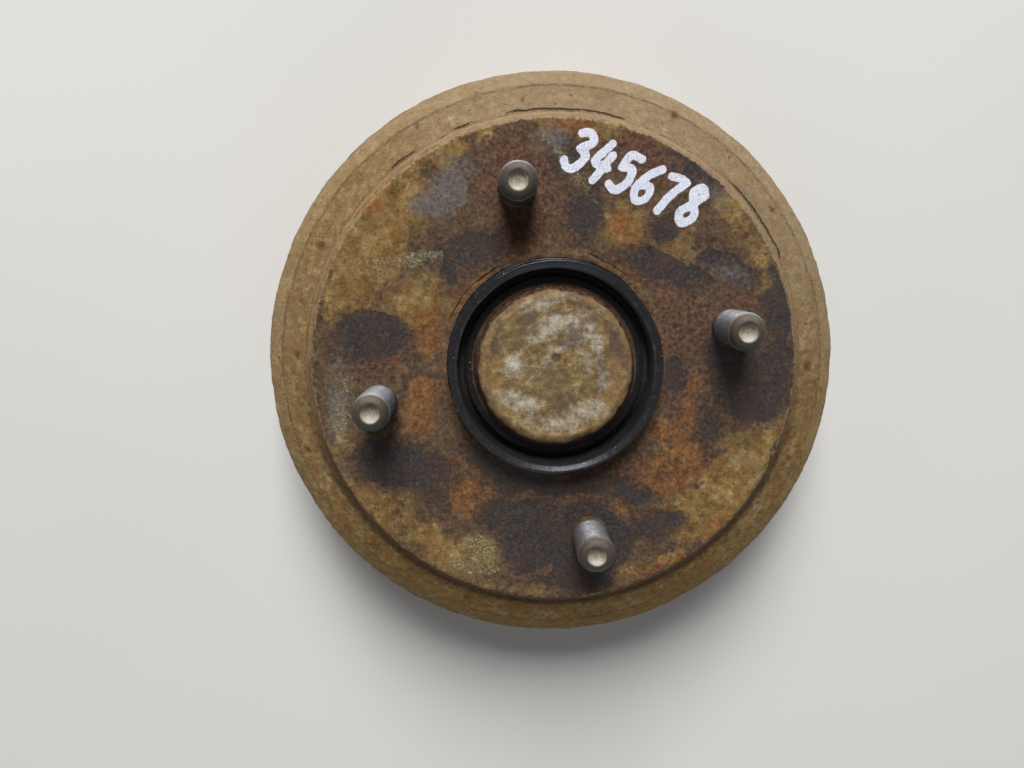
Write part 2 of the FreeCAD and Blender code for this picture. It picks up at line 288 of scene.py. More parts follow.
# Places of the patches on the wheel face, in millimetres from the axis, seen from above:
# x, y, half length, half width, turn of the long axis in degrees
FACE_PATCHES = {
    "ochre": [
        (-57, 43, 20, 13, 62), (-65, 22, 13, 8, 82), (-43, 20, 13, 7, 30), (59, -40, 17, 12, 62),
        (46, -49, 13, 8, 38), (-60, -42, 18, 4.5, -52), (-43, -55, 11, 5, -42), (-34, -62, 12, 5, -30),
        (-23, -62, 9, 6, 0), (-5, -73, 15, 2.6, 0), (21, 43, 8.5, 6.5, -10), (39, 38.4, 9, 5, -15),
        (54, 48, 9, 3.4, -52), (34, -65, 16, 2.5, 26), (5, 74.8, 9, 2.2, -4), (-30, 68, 13, 3, 25),
        (70, -22, 8, 3, 72), (-69, -20, 9, 3, -75), (14, 79, 16, 2, -10), (68, 29, 8, 2.6, -62),
    ],
    "orange": [
        (-43.5, -12, 10.5, 6, 80), (-39.5, 10, 8, 4.5, 85), (-26.5, -40.5, 11, 7.5, -48),
        (39, -34, 11, 8, 20), (36, -66, 10, 1.6, 28), (5, 75, 8, 1.8, -4), (21, 43.7, 6, 4.5, -10),
        (44, -12, 7, 2, 85), (36, -22, 5, 3.5, 0), (22, 30.5, 8, 2.2, -32), (-27, 24, 6, 2.2, 42),
        (-14, 36.5, 8, 2.2, 14), (-50, 3, 2.4, 1.4, 0), (22, -47.5, 3.6, 2.6, 0), (54, -52, 6, 4, 50),
        (-58, 52, 5, 4, 40), (-62, 14, 5, 3, 80),
    ],
    "red": [
        (-12.6, 58, 13, 13, 0), (27, 67, 22, 8, -26), (41, 13, 9, 13, 0), (42, -11, 6, 16, 5),
        (-60, -1, 7.5, 3.6, 0), (15, -37, 15, 6, 10), (-5, 45, 12, 6, 10), (60, 15, 8, 8, 0),
        (-32, -5, 4, 9, 0), (52, -30, 5, 4, 0), (-20, -45, 6, 5, 0),
    ],
    "dark": [
        (-24.7, 36.7, 11.5, 5.2, 8), (-32.6, 27.8, 3.2, 4.2, 0), (-59.8, 9.4, 12, 7.8, 4),
        (-49, -33, 18, 7.2, -8), (-38, -40.5, 2.4, 5, 5), (-8, -56, 10, 13, 0), (11, -58, 15, 13, 0),
        (-19, -49, 5, 5, 0), (34, -52.5, 8, 4.4, 10), (64.6, -7, 11.5, 12, 0), (71.5, 16, 5, 15, 6),
        (10, 48, 5.6, 8, 0), (34, 42.6, 4.2, 4.8, 0), (34.3, 31, 14.5, 5.2, -15), (59.8, 28, 5, 3.2, 0),
        (49.8, -19, 2.9, 5, 5), (38, -2.5, 4, 5.6, 0), (51, 33, 9, 3.6, -20), (-12, -36, 12, 5, -8),
        (44, 61, 8, 3.4, -38), (4, 64, 5, 4, 0), (53, 5, 6, 7, 0), (26, -43, 6, 4, -20),
        (3, -39.5, 17, 3.2, 4), (-23, -31, 6, 3, -42), (7, -71, 15, 4, 0),
    ],
    "grey": [
        (-33.5, 54.5, 9, 6, 62), (-39, 50, 6, 4, 10), (-0.8, 70.2, 4.6, 3, -42),
        (-69, -13.3, 3.6, 7.5, 0), (51, 54, 2.5, 1.6, -35), (-69, 1, 1.6, 4, 0),
        (56, 28.4, 3, 1.6, -10),
    ],
    "pale": [
        (-47, 32.6, 7, 2.2, 10), (-39, 34.8, 4.4, 1.4, 2), (-24, -61, 5.2, 5.6, -10),
        (-22, -67, 7, 2, -8), (-66, -8, 1.4, 3, 12), (-1.4, 68.6, 5.2, 0.45, -50),
        (-68, -16, 1.6, 4, 10), (-29, -66, 4, 2, -20),
    ],
}

# Brush strokes of the number on the wheel face, as points in a box one unit wide and two high
DIGIT_STROKES = {
    "3": [[(0.05, 1.8), (0.5, 2.0), (0.95, 1.65), (0.45, 1.1)],
          [(0.45, 1.1), (1.0, 0.85), (0.75, 0.1), (0.3, -0.02), (-0.05, 0.25)]],
    "4": [[(0.45, 2.0), (0.1, 0.85), (1.0, 0.8)], [(0.85, 1.5), (0.6, -0.05)]],
    "5": [[(0.95, 1.95), (0.25, 1.9), (0.15, 1.15)],
          [(0.15, 1.15), (0.75, 1.3), (0.95, 0.65), (0.55, 0.0), (0.0, 0.15)]],
    "6": [[(0.8, 1.95), (0.25, 1.3), (0.02, 0.5), (0.4, -0.02), (0.9, 0.3), (0.75, 0.9), (0.15, 0.75)]],
    "7": [[(0.0, 1.85), (0.55, 1.95), (1.0, 1.9)], [(1.0, 1.9), (0.55, 0.95), (0.35, 0.0)]],
    "8": [[(0.85, 1.7), (0.45, 2.0), (0.12, 1.6), (0.5, 1.1), (0.95, 0.55), (0.5, -0.02),
           (0.05, 0.45), (0.5, 1.1), (0.85, 1.7)]],
}
NUMBER = "345678"
NUMBER_START = (2.0, 62.7)
NUMBER_END = (37.3, 45.9)
DIGIT_HEIGHT = 12.4
DIGIT_WIDTH = 5.0
DIGIT_SLANT = 0.12
BRUSH_R = 1.3

# What a field of patches or paint holds far from all of them
FAR_OUTSIDE = -9.0


def ellipse_field(x, y, patches):
    """Millimetres inside the nearest patch, negative outside it."""
    field = np.full(len(x), FAR_OUTSIDE)
    for px, py, length, width, degrees in patches:
        turn = math.radians(degrees)
        u = (x - px) * math.cos(turn) + (y - py) * math.sin(turn)
        v = (y - py) * math.cos(turn) - (x - px) * math.sin(turn)
        inside = (1 - np.hypot(u / length, v / width)) * min(length, width)
        field = np.maximum(field, inside)
    return field


def patch_fields(x, y, patches):
    return {name: ellipse_field(x, y, places) for name, places in patches.items()}


def curved(points, count=10):
    """Points along a smooth line through the given ones."""
    spots = [Vector(point) for point in points]
    spots = [2 * spots[0] - spots[1]] + spots + [2 * spots[-1] - spots[-2]]
    line = []
    for a, b, c, d in zip(spots, spots[1:], spots[2:], spots[3:]):
        for k in range(count):
            t = k / count
            line.append(0.5 * (2 * b + (c - a) * t + (2 * a - 5 * b + 4 * c - d) * t ** 2
                               + (3 * b - a - 3 * c + d) * t ** 3))
    return line + [spots[-2]]


def number_strokes():
    """Every brush stroke of the number, as lines of points on the wheel face."""
    start = Vector(NUMBER_START)
    along = Vector(NUMBER_END) - start
    across = along.normalized()
    up = Vector((-across.y, across.x))
    lines = []
    for i, digit in enumerate(NUMBER):
        foot = start + along * i / (len(NUMBER) - 1)
        for stroke in DIGIT_STROKES[digit]:
            line = []
            for x, y in curved(stroke):
                lift = y * DIGIT_HEIGHT / 2
                line.append(foot + across * (x * DIGIT_WIDTH + lift * DIGIT_SLANT) + up * lift)
            lines.append(line)
    return lines


def paint_field(x, y):
    """Millimetres inside the painted strokes, negative outside them."""
    field = np.full(len(x), FAR_OUTSIDE)
    for line in number_strokes():
        for a, b in zip(line, line[1:]):
            along = b - a
            share = ((x - a.x) * along.x + (y - a.y) * along.y) / max(along.length_squared, 1e-9)
            share = np.clip(share, 0, 1)
            gap = np.hypot(x - a.x - share * along.x, y - a.y - share * along.y)
            field = np.maximum(field, BRUSH_R - gap)
    return field


# Casting

CASTING_SPOKES = 576

CASTING_CORNERS = [
    (DRUM_R + RIM_CHAMFER, 0, 0, "rim", 3),
    (GROOVE_IN_R, 0, 0, "groove", 2),
    (GROOVE_IN_R, GROOVE_DEPTH, 0, "groove", 2),
    (GROOVE_OUT_R, GROOVE_DEPTH, 0, "groove", 2),
    (GROOVE_OUT_R, 0, 0, "rim", 2),
    (LIP_R, 0, 0.8, "lip", 2),
    (LIP_R, LIP_HEIGHT, 0.8, "lip", 2),
    (WALL_R, LIP_SLOPE_Z, 3, "wall", 2.6),
    (WALL_R, TAPER_Z, 3, "wall", 2.0),
    (CORNER_R, CORNER_Z, 3, "corner", 0.9),
    (SHOULDER_R, SHOULDER_Z, 3, "shoulder", 0.8),
    (BEVEL_R, BEVEL_Z, 0.8, "bevel", 0.6),
    (FACE_R, FACE_Z, 0.8, "face", 0.78),
    (SPIGOT_R, FACE_Z, 0, "spigot", 1.4),
    (SPIGOT_R, SPIGOT_TOP_Z, 0.6, "spigot", 0.3),
    (SPIGOT_R - 0.9, SPIGOT_TOP_Z, 0.8, "spigot", 0.3),
    (CHANNEL_R, SPIGOT_TOP_Z - 1.1, 0.9, "channel", 1.2),
    (CHANNEL_R, CHANNEL_Z, 0.8, "channel", 1.2),
    (NECK_R, CHANNEL_Z, 0.8, "channel", 2.4),
    (NECK_R, NECK_Z, 0.4, "neck", 0.8),
    (BORE_R, NECK_Z, 0.3, "bore", 9),
    (BORE_R, SEAT_Z, 0, "seat", 4),
    (SEAT_R, SEAT_Z, 0, "seat", 4),
    (SEAT_R, HUB_END_Z, 0.4, "boss", 4),
    (BOSS_END_R, HUB_END_Z, 1, "boss", 4.5),
    (BOSS_ROOT_R, WEB_Z, 5, "web", 3),
    (SLOPE_R, WEB_Z, 4, "slope", 3),
    (INNER_CORNER_R, INNER_CORNER_Z, 4, "slope", 2),
    (RELIEF_R, RELIEF_Z, 0, "relief", 3),
    (RELIEF_R, PATH_END_Z, 0, "relief", 3),
    (DRUM_R, PATH_END_Z, 0, "path", 2.2),
    (DRUM_R, RIM_CHAMFER, 0, "rim", 3),
]

WHEEL_SIDE_ZONES = {"lip", "wall", "corner", "shoulder", "bevel", "face"}
RING_ZONES = {"spigot", "channel", "neck"}
# Places of the casting's materials in its list
WHEEL_SIDE, RING, UNDERSIDE, FRICTION = range(4)

# How far the surface swells and how gritty it is in each zone, in millimetres
CRUST = {
    "rim": (0.10, 0.08), "groove": (0.12, 0.08), "lip": (0.22, 0.14), "wall": (0.25, 0.16),
    "corner": (0.26, 0.17), "shoulder": (0.24, 0.15), "bevel": (0.20, 0.12), "face": (0.10, 0.07),
    "spigot": (0.06, 0.03), "channel": (0.05, 0.02), "neck": (0.05, 0.03), "bore": (0.0, 0.0),
    "seat": (0.03, 0.02), "boss": (0.12, 0.08), "web": (0.12, 0.08), "slope": (0.12, 0.08),
    "relief": (0.05, 0.04), "path": (0.0, 0.0),
}

# The crust has faded most on this side, in radians from +X
FADED_SIDE = math.radians(65)
# Flaking crust round the spigot ring reaches out to about here
COLLAR_CRUST_R = 35.7
COLLAR_LIFT = 0.42
# The crack along the bevel, and how far its outer side is lifted
CRACK_R = 80.2
CRACK_LIFT = 0.30
PIT_DEPTH = 0.5
SCORING_DEPTH = 0.08
# Stretches of the crack, as (from, to) in degrees from +X
CRACK_STRETCHES = [(74, 101), (107, 116), (24, 46), (124, 131)]
# The crack round the spigot ring, as (from, to, how far each end fades) in degrees from +X
COLLAR_CRACKS = [(114, 160, 10), (48, 76, 6)]
# Pits on the shoulder, as (radius, degrees from +X, radius of the pit)
SHOULDER_PITS = [(84, 153, 2.0), (83.5, 178, 1.6), (84, -1, 2.3), (88, 64, 2.0), (86, 35, 1.2),
                 (85, -22, 1.2), (87, 120, 1.2), (84, 97, 1.0), (86, 200, 1.1), (85, 250, 1.3)]


def crack_stretches(angles, wander):
    """1 where the shoulder's crust has cracked along the bevel, with ragged ends."""
    degrees = np.degrees(angles) % 360
    along = np.zeros(len(angles))
    for start, end in CRACK_STRETCHES:
        inside = np.minimum(degrees - start, end - degrees)
        along = np.maximum(along, smooth(-0.5, 2.5, inside + 4 * wander))
    return along


def collar_cracks(degrees, radii):
    """1 where the crust round the spigot ring has cracked."""
    along = sum(smooth(start, start + fade, degrees) * smooth(end, end - fade, degrees)
                for start, end, fade in COLLAR_CRACKS)
    return along * smooth(COLLAR_CRUST_R + 4, COLLAR_CRUST_R + 2, radii)


def casting_relief(casting):
    """How far each vertex stands out of the clean casting, and what goes with it in colour."""
    spots, radii, zones = casting.spots, casting.radii, casting.zones
    swell = np.array([CRUST[name][0] for name in zones])
    grit = np.array([CRUST[name][1] for name in zones])
    broad = fractal(spots, 9.0, 3)
    fine = fractal(spots, 1.9, 3, shift=7.3)
    wander = fractal(spots, 14.0, 3, shift=21.0)
    relief = swell * broad + grit * fine
    crack = crack_stretches(casting.angles, wander)
    lifted = smooth(CRACK_R - 0.2, CRACK_R + 0.6, radii) * smooth(CRACK_R + 7, CRACK_R + 1, radii)
    relief += CRACK_LIFT * crack * lifted * np.isin(zones, ["shoulder", "bevel"])
    collar_edge = COLLAR_CRUST_R + 1.3 * wander
    collar = smooth(SPIGOT_R + 0.3, SPIGOT_R + 1.6, radii)
    collar *= 1 - smooth(collar_edge - 0.3, collar_edge + 0.5, radii)
    relief += COLLAR_LIFT * collar * (zones == "face")
    pits = np.zeros(len(spots))
    for pit_r, degrees, size in SHOULDER_PITS:
        turn = math.radians(degrees)
        gap = np.hypot(spots[:, 0] - pit_r * math.cos(turn), spots[:, 1] - pit_r * math.sin(turn))
        pits = np.maximum(pits, 1 - smooth(0.4 * size, size, gap + 0.5 * fine))
    pits *= spots[:, 2] > CORNER_Z
    relief -= PIT_DEPTH * pits
    scoring = fractal(spots, 1.5, 3, shift=4.0, stretch=(0, 0, 1))
    relief += np.where(zones == "path", SCORING_DEPTH * scoring, 0)
    return relief, {"crack": crack, "pits": pits, "collar": collar}


def casting_fields(casting):
    """What the casting's materials need to know of each vertex, from its place alone."""
    x, y, z = casting.spots.T
    towards_y = np.sin(casting.angles)
    return {
        "collar_crack": collar_cracks(np.degrees(casting.angles) % 360, casting.radii),
        "depth": FACE_Z - z,
        # lower and bottom mark the -Y side; the materials paint shade there and paint the +Y side
        # lighter.
        "lower": smooth(0.15, -0.55, towards_y),
        "bottom": smooth(-0.40, -1.0, towards_y),
        "faded": smooth(0.3, 0.9, np.cos(casting.angles - FADED_SIDE)),
        "paint": np.where(casting.zones == "face", paint_field(x, y), FAR_OUTSIDE),
        "on_face": smooth(FACE_R + 1.5, FACE_R - 0.6, casting.radii) * (z > WEB_Z + 1),
        "radius": casting.radii,
    } | patch_fields(x, y, FACE_PATCHES)


def build_casting(materials):
    """The drum and hub with their rust as real relief, standing for the plain casting."""
    casting = Turned(CASTING_CORNERS, CASTING_SPOKES)
    relief, rust_fields = casting_relief(casting)
    casting.roughen(relief)
    for face in casting.mesh.faces:
        names = {casting.zones[vert.index] for vert in face.verts}
        if names & RING_ZONES:
            face.material_index = RING
        elif names & WHEEL_SIDE_ZONES:
            face.material_index = WHEEL_SIDE
        elif "path" in names:
            face.material_index = FRICTION
        else:
            face.material_index = UNDERSIDE
    piece = finished("drum_casting", casting.mesh, "drum", materials)
    store(piece, rust_fields | casting_fields(casting))
    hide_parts("drum_and_hub")


# Studs

STUD_SPOKES = 48
PITCH = 1.5
THREAD_START_Z = FACE_Z + 2.2
THREAD_DEPTH = 0.88
SHOULDER_OF_STUD_R = 6.4
NOSE_LENGTH = 2.4
# The nose starts this far above the wheel face
NOSE_HEIGHT = STUD_TIP_Z - FACE_Z - NOSE_LENGTH
END_DISH_R = 3.3
END_DISH_DEPTH = 1.5
STUD_HEAD_R = 8.5
# Studs whose foot has a smaller Y than this are drawn darker
DARKER_STUD_Y = -40

STUD_CORNERS = [
    (0, STUD_TIP_Z - END_DISH_DEPTH, 0, "dish", 0.5),
    (1.5, STUD_TIP_Z - END_DISH_DEPTH, 1.6, "dish", 0.3),
    (END_DISH_R, STUD_TIP_Z, 0.4, "tip", 0.3),
    (STUD_R - 1.7, STUD_TIP_Z, 1.5, "tip", 0.3),
    (STUD_R, STUD_TIP_Z - NOSE_LENGTH, 3.0, "thread", 0.15),
    (STUD_R, FACE_Z, 0, "root", 0.4),
    (SHOULDER_OF_STUD_R, FACE_Z, 0, "root", 3),
    (SHOULDER_OF_STUD_R, WEB_Z, 0, "head", 1),
    (STUD_HEAD_R, WEB_Z, 0.3, "head", 1),
    (STUD_HEAD_R, STUD_HEAD_Z, 1.0, "head", 1),
    (0, STUD_HEAD_Z, 0, "head", 1),
]


def stud_relief(stud, seed):
    """Worn thread with dents in it, and how deep in the thread each vertex lies."""
    turns = (stud.spots[:, 2] - THREAD_START_Z) / PITCH - stud.angles / (2 * math.pi)
    groove = np.clip((0.95 - np.abs(2 * (turns % 1) - 1)) / 0.75, 0, 1)
    height = stud.spots[:, 2]
    groove *= smooth(THREAD_START_Z, THREAD_START_Z + 1.0, height) * (stud.zones == "thread")
    wear = fractal(stud.spots, 5.0, 2, shift=seed)
    dents = fractal(stud.spots, 1.4, 3, shift=seed + 40)
    depth = THREAD_DEPTH * (0.82 + 0.3 * wear)
    flanks = np.isin(stud.zones, ["thread", "root"])
    relief = np.where(flanks, -depth * groove - 0.04 - 0.07 * np.abs(dents), 0.05 * dents)
    relief += np.where(stud.zones == "dish", 0.22 * fractal(stud.spots, 1.8, 2, shift=seed + 9), 0)
    return relief, groove


def build_studs(material):
    """Four worn wheel studs, in one group as in the CAD model."""
    for i in range(STUD_COUNT):
        stud = Turned(STUD_CORNERS, STUD_SPOKES, closed=False)
        relief, groove = stud_relief(stud, 11.0 * i)
        stud.roughen(relief)
        angle = FIRST_STUD_ANGLE + 2 * math.pi * i / STUD_COUNT
        foot = Vector((math.cos(angle), math.sin(angle), 0)) * STUD_CIRCLE_R
        bmesh.ops.translate(stud.mesh, verts=stud.mesh.verts, vec=foot)
        piece = finished(f"wheel_stud_{i + 1}", stud.mesh, "drum", [material])
        store(piece, {
            "groove": groove,
            "height": stud.spots[:, 2] - FACE_Z,
            "dish": smooth(END_DISH_R + 0.1, 2.5, stud.radii) * (stud.zones == "dish"),
            # upper and bowl only steer painted highlight and painted shade in the stud's material.
            "upper": 0.5 + 0.5 * np.sin(stud.angles),
            "bowl": 0.5 - 0.5 * np.sin(stud.angles) * stud.radii / END_DISH_R,
            "tarnish": np.full(len(stud.spots), float(foot.y < DARKER_STUD_Y)),
        })
    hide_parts("wheel_studs")


# Dust cap

CAP_SPOKES = 256
CAP_TOP_R = 23.9
CAP_SIDE_R = 25.6
CAP_SEAT_Z = NECK_Z
CAP_SIDE_Z = CAP_SEAT_Z + 0.6
CAP_WALL = 1.0
DISH_R = 8.6
DISH_FLOOR_R = 7.0
DISH_Z = CAP_TOP_Z - 0.35
# The punched dimple sits a little off the axis
DIMPLE_SPOT = (0.3, 2.8)
DIMPLE_R = 2.0
DIMPLE_FLOOR_R = 0.9
DIMPLE_DEPTH = 0.7

CAP_CORNERS = [
    (0, DISH_Z, 0, "top", 0.35),
    (DISH_FLOOR_R, DISH_Z, 0.4, "top", 0.6),
    (DISH_R, CAP_TOP_Z, 0.6, "top", 0.6),
    (CAP_TOP_R, CAP_TOP_Z, 3.2, "side", 0.6),
    (CAP_SIDE_R, CAP_SIDE_Z, 0.2, "side", 0.6),
    (BORE_R, CAP_SEAT_Z, 0, "skirt", 2),
    (BORE_R, CAP_BOTTOM_Z, 0, "inside", 2),
    (BORE_R - CAP_WALL, CAP_BOTTOM_Z, 0, "inside", 1.5),
    (BORE_R - CAP_WALL, CAP_SEAT_Z, 0, "inside", 1.5),
    (CAP_SIDE_R - CAP_WALL, CAP_SIDE_Z, 0, "inside", 1.5),
    (CAP_TOP_R - CAP_WALL, CAP_TOP_Z - CAP_WALL, 1.0, "inside", 1.5),
    (DISH_R - CAP_WALL / 2, CAP_TOP_Z - CAP_WALL, 0, "inside", 1.5),
    (DISH_FLOOR_R - CAP_WALL / 2, DISH_Z - CAP_WALL, 0, "inside", 0.5),
    (0, DISH_Z - CAP_WALL, 0, "inside", 0.5),
]

# Clouds and stains on the cap, as the patches on the wheel face are listed
CAP_PATCHES = {
    "cloud": [
        (0.8, 13.6, 6.5, 2.6, 18), (-13.4, 1.8, 2.6, 3.6, 0), (14.4, -1.2, 1.7, 6, 4),
        (10.6, -13.6, 6.5, 3.2, 28), (-11.2, -10.8, 6, 2.2, -18), (-1, -17.5, 4, 1.2, 0),
        (-2.5, 20.2, 4, 1.4, 12), (3.4, 7.4, 5.5, 1.2, 40), (-6, 9.5, 3, 1.5, 20),
    ],
    "plum": [
        (7.7, 19, 5, 1.7, -38), (-8.3, 15.8, 4.5, 1.8, 25), (13.7, -0.2, 0.8, 3.2, 0),
        (5.6, 10, 3.2, 1.5, 45), (2.5, -11.5, 3, 2.5, 30), (18.5, 8, 1.5, 5, 20), (-19, 7, 1.6, 5, -15),
        (3, 16.5, 1, 0.7, 0),
    ],
    "olive": [
        (-1, -4.5, 6.2, 5.6, 0), (-10, 9.5, 4, 2.5, 20), (8.5, 2, 1.3, 6, 0),
    ],
    "amber": [
        (-17.5, -13, 4, 2.2, -50), (-1, -21, 12, 1.5, 0), (18, -9, 3, 5, -15), (19, 2, 1.6, 6, 0),
        (-19, -3, 1.6, 5, 10), (-6, 19.5, 3, 1, 20),
    ],
}
# Where the edge of the cap has been knocked in
KNOCK = (8.6, 20.8, 5.5, 2.4, -38)
KNOCK_DEPTH = 0.7


def cap_relief(cap):
    """Press marks, dents and chips of the cap, the same on both sides of its thin top."""
    x, y = cap.spots[:, 0], cap.spots[:, 1]
    top = smooth(0, 2, CAP_TOP_R - cap.radii) * (cap.zones == "top")
    shown = np.isin(cap.zones, ["top", "side"])
    dents = fractal(cap.spots, 13.0, 2, shift=5.0)
    ripples = fractal(cap.spots, 4.0, 3, shift=15.0)
    grit = fractal(cap.spots, 1.2, 3, shift=25.0)
    chips = smooth(0.15, 0.5, fractal(cap.spots, 6.0, 2, shift=33.0))
    chips *= smooth(CAP_TOP_R - 2.5, CAP_TOP_R, cap.radii)
    relief = (0.16 * ripples + 0.06 * grit - 0.35 * chips) * shown - top * (0.25 + 0.38 * dents)
    gap = np.hypot(x - DIMPLE_SPOT[0], y - DIMPLE_SPOT[1])
    dimple = smooth(DIMPLE_R, DIMPLE_FLOOR_R, gap)
    below = (cap.zones == "inside") & (cap.spots[:, 2] > CAP_TOP_Z - 2 * CAP_WALL)
    pressed = relief * smooth(0.5, 3.5, gap) - DIMPLE_DEPTH * dimple
    relief = np.where(cap.zones == "top", pressed, relief)
    relief = np.where(below, DIMPLE_DEPTH * dimple, relief)
    knock = smooth(0, 1.5, ellipse_field(x, y, [KNOCK])) * shown
    return relief - KNOCK_DEPTH * knock, dimple


def build_cap(material):
    """Pressed cap, dented on top, with a thin film of rust that follows the press marks."""
    cap = Turned(CAP_CORNERS, CAP_SPOKES, closed=False)
    relief, dimple = cap_relief(cap)
    cap.roughen(relief)
    piece = finished("cap_shell", cap.mesh, "drum", [material])
    x, y, z = cap.spots.T
    store(piece, {"radius": cap.radii, "height": z - CAP_SEAT_Z, "dimple": dimple})
    store(piece, patch_fields(x, y, CAP_PATCHES))
    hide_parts("dust_cap")


# Shader building

class Value:
    """A value in a shader tree. Its sums and products are Math nodes."""

    def __init__(self, build, socket):
        self.build = build
        self.socket = socket

    def __add__(self, other):
        return self.build.math("ADD", self, other)

    def __mul__(self, other):
        return self.build.math("MULTIPLY", self, other)

    def __sub__(self, other):
        return self.build.math("SUBTRACT", self, other)

    def __rsub__(self, other):
        return self.build.math("SUBTRACT", other, self)


class Tree:
    """Short calls that add nodes to a material or a node group."""

    def __init__(self, tree):
        self.tree = tree

    def node(self, kind, settings=None, **inputs):
        made = self.tree.nodes.new(kind)
        for key, value in (settings or {}).items():
            setattr(made, key, value)
        self.put_all(made, inputs)
        return made

    def put(self, node, socket, value):
        """Links a value into this input, or sets the input to a plain number or colour."""
        target = node.inputs[socket]
        if isinstance(value, Value):
            self.tree.links.new(value.socket, target)
        else:
            target.default_value = value

    def put_all(self, node, inputs):
        """Fills inputs whose names are written with _ for each space."""
        for key, value in inputs.items():
            self.put(node, key.replace("_", " "), value)

    def out(self, node, socket=0):
        return Value(self, node.outputs[socket])

    def outs(self, node):
        """Every output of a node, by name."""
        return {output.name: Value(self, output) for output in node.outputs}

    def math(self, operation, a, b=0.0):
        made = self.node("ShaderNodeMath", {"operation": operation})
        self.put(made, 0, a)
        self.put(made, 1, b)
        return self.out(made)

    def field(self, name):
        """What each vertex of the mesh keeps under this name."""
        return self.out(self.node("ShaderNodeAttribute", {"attribute_name": name}), "Fac")

    def spot(self, shift=(0, 0, 0)):
        """Object coordinates in millimetres."""
        coordinates = self.out(self.node("ShaderNodeTexCoord"), "Object")
        return self.out(self.node("ShaderNodeMapping", Vector=coordinates, Location=shift,
                                  Scale=(1 / MM,) * 3))

    def noise(self, vector, scale, detail=4.0, rough=0.55, distortion=0.0):
        """Noise from 0 to 1 with features about 1 / scale wide."""
        return self.out(self.node("ShaderNodeTexNoise", Vector=vector, Scale=scale, Detail=detail,
                                  Roughness=rough, Distortion=distortion))

    def streaks(self, stretch, turn=0.0, scale=1.0, detail=4.0, rough=0.6):
        """Noise drawn out along the axes with a small stretch, turned about Z."""
        stretched = self.node("ShaderNodeMapping", Vector=self.spot(), Rotation=(0, 0, turn),
                              Scale=stretch)
        return self.noise(self.out(stretched), scale, detail, rough)

    def clouds(self, shift, scale, low, high, detail=4.0, rough=0.6, distortion=0.0):
        """Soft-edged blotches from noise at a place of its own."""
        return self.step(self.noise(self.spot(shift), scale, detail, rough, distortion), low, high)

    def cells(self, scale, shift=(0, 0, 0)):
        made = self.node("ShaderNodeTexVoronoi", Vector=self.spot(shift), Scale=scale)
        return self.out(made, "Distance")

    def centred(self, value):
        """Noise from 0 to 1 turned into about -1 to 1."""
        return (value - 0.5) * 2.0

    def step(self, value, low, high, to_low=0.0, to_high=1.0):
        """A soft step of a value between low and high."""
        made = self.node("ShaderNodeMapRange", {"interpolation_type": "SMOOTHSTEP"}, Value=value,
                         From_Min=low, From_Max=high, To_Min=to_low, To_Max=to_high)
        return self.out(made, "Result")

    def line(self, value, middle, half_width, soft):
        """1 within half_width of a middle value, fading out over the soft distance."""
        gap = self.math("ABSOLUTE", value - middle)
        return self.step(gap, half_width + soft, half_width)

    def mix(self, share, a, b):
        """One colour under another; each is a value or (red, green, blue)."""
        made = self.node("ShaderNodeMix", {"data_type": "RGBA"})
        self.put(made, 0, share)
        self.put(made, 6, as_colour(a))
        self.put(made, 7, as_colour(b))
        return self.out(made, 2)

    def layered(self, colour, layers):
        """A colour with each (mask, layer) laid over it in turn."""
        for mask, layer in layers:
            colour = self.mix(mask, colour, layer)
        return colour

    def ramp(self, value, stops):
        """Colours along a value; a stop is (place, red, green, blue)."""
        made = self.node("ShaderNodeValToRGB", Fac=value)
        elements = made.color_ramp.elements
        while len(elements) < len(stops):
            elements.new(0.5)
        for element, (place, *colour) in zip(elements, stops):
            element.position = place
            element.color = srgb(*colour)
        return self.out(made)

    def group(self, name, **inputs):
        return self.outs(self.node("ShaderNodeGroup", {"node_tree": bpy.data.node_groups[name]},
                                   **inputs))

    def patch(self, field, ragged, crisp, soft, shift):
        """Mask of a patch with a ragged edge, from its field in millimetres."""
        return self.group("PatchMask", Field=field, Ragged=ragged, Crisp=crisp, Soft=soft,
                          Shift=shift)["Mask"]


def new_group(name, inputs, outputs):
    """A shader node group with these float inputs and outputs."""
    tree = bpy.data.node_groups.new(name, "ShaderNodeTree")
    for socket, value in inputs.items():
        made = tree.interface.new_socket(name=socket, in_out="INPUT", socket_type="NodeSocketFloat")
        made.default_value = value
    for socket in outputs:
        tree.interface.new_socket(name=socket, in_out="OUTPUT", socket_type="NodeSocketFloat")
    build = Tree(tree)
    return build, build.outs(tree.nodes.new("NodeGroupInput")), tree.nodes.new("NodeGroupOutput")


def make_patch_group():
    """Ragged mask of a patch from its field in millimetres, crisp in places and blurred in others."""
    build, ins, end = new_group(
        "PatchMask", {"Field": 0, "Ragged": 3, "Crisp": 0.3, "Soft": 2, "Shift": 0}, ["Mask"])
    shifted = build.node("ShaderNodeVectorMath", {"operation": "ADD"})
    build.put(shifted, 0, build.spot())
    build.put(shifted, 1, ins["Shift"])
    place = build.out(shifted)
    broad = build.noise(place, 0.11, detail=6.0, rough=0.62, distortion=0.5)
    fine = build.noise(place, 0.75, detail=3.0, rough=0.6)
    blur = build.step(build.noise(place, 0.055, detail=1.0), 0.44, 0.60)
    width = ins["Crisp"] + blur * ins["Soft"]
    edge = ins["Field"] + build.centred(broad) * ins["Ragged"] + build.centred(fine) * (width * 1.6)
    build.put(end, "Mask", build.step(edge, width * -1.0, width))


def make_grain_group():
    """Mottling at three sizes, from 0 to 1, for rusty iron."""
    build, ins, end = new_group("RustGrain", {"Size": 1.0}, ["Broad", "Middle", "Fine"])
    inverse = build.math("DIVIDE", 1.0, ins["Size"])
    spot = build.spot()
    for name, scale, detail in (("Broad", 0.11, 4.0), ("Middle", 0.42, 4.0), ("Fine", 1.4, 2.0)):
        build.put(end, name, build.noise(spot, inverse * scale, detail=detail, rough=0.6))


